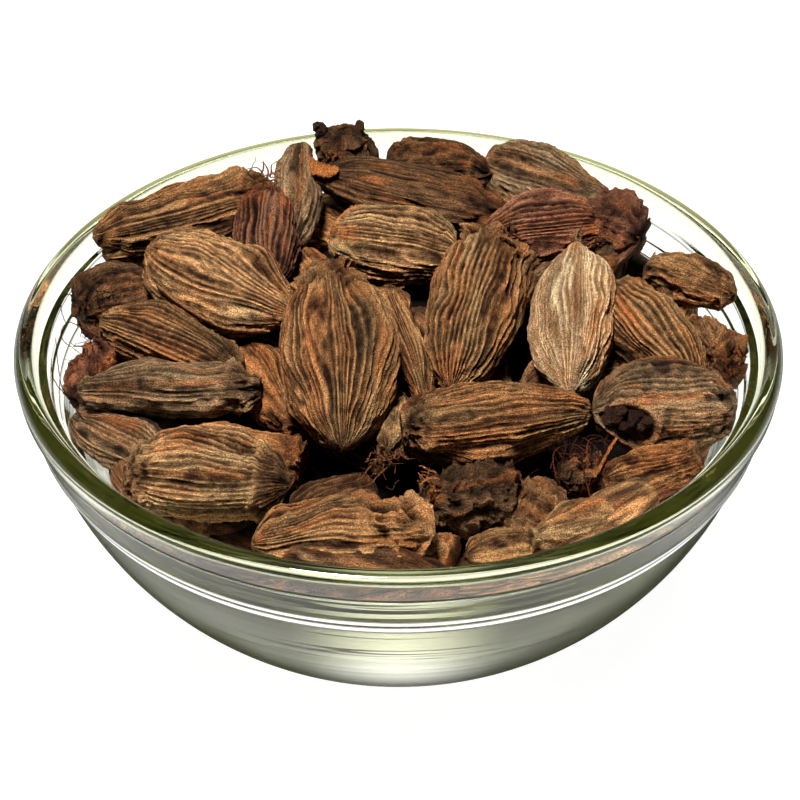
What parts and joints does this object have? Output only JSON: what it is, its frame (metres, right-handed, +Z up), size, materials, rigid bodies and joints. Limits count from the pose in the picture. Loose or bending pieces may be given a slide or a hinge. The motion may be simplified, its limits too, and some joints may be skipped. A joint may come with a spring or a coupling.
{
  "type": "bowl of black cardamom",
  "caption": "Round clear glass bowl heaped with dried, ridged dark brown spice pods that rise above its thick rounded rim.",
  "frame": {"origin": "centre of the bowl's foot, on the surface that it stands on", "axes": "+Z up along the bowl's axis, -Y towards the viewer of the picture, +X to the viewer's right"},
  "size_m": [0.1296, 0.13, 0.064],
  "materials": {
    "glass": "clear pressed glass with a faint green tint",
    "pod_husk": "matte dried husk, ridged lengthwise"
  },
  "bodies": {
    "root": {"bowl": "glass", "cardamom_heap": "pod_husk"}
  },
  "joints": []
}
